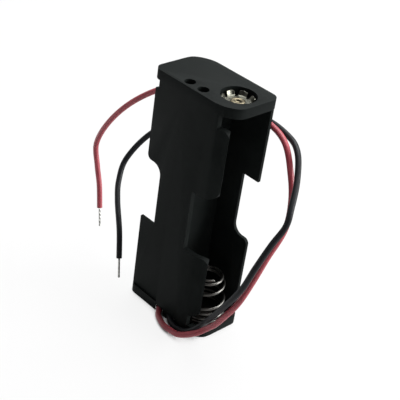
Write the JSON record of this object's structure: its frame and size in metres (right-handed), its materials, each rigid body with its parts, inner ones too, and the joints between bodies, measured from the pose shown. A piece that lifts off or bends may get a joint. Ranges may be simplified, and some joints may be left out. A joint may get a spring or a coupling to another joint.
{
  "type": "cylindrical cell holder",
  "caption": "Moulded cell holder with back-to-back open compartments, conical springs, stamped contacts and stripped flying leads.",
  "frame": {"origin": "middle of the bottom end plate's outer face", "axes": "+Z along the cells towards the end plate with the open lead holes; X across the web from one cell to the other, +X towards the compartment whose spring is at the bottom; Y across the narrow side, -Y towards the flat front panel and the leads' exit"},
  "size_m": [0.0608, 0.0249, 0.056],
  "materials": {
    "moulding": "satin",
    "contact_sheet": "satin",
    "contact_rivet": "satin",
    "spring_wire": "polished",
    "insulation_red": "satin",
    "insulation_black": "satin",
    "tinned_copper": "satin",
    "solder": "satin"
  },
  "bodies": {
    "root": {"body": "moulding", "rosette_top": "contact_sheet", "rosette_bottom": "contact_sheet", "rivet_top": "contact_rivet", "rivet_bottom": "contact_rivet", "link_top": "contact_sheet", "seat_bottom": "contact_sheet", "tag_bottom": "contact_sheet", "spring_right": "spring_wire", "spring_left": "spring_wire", "lead_red": "insulation_red", "lead_black": "insulation_black", "conductor_red": "tinned_copper", "conductor_black": "tinned_copper", "solder_red": "solder", "solder_black": "solder"}
  },
  "joints": []
}
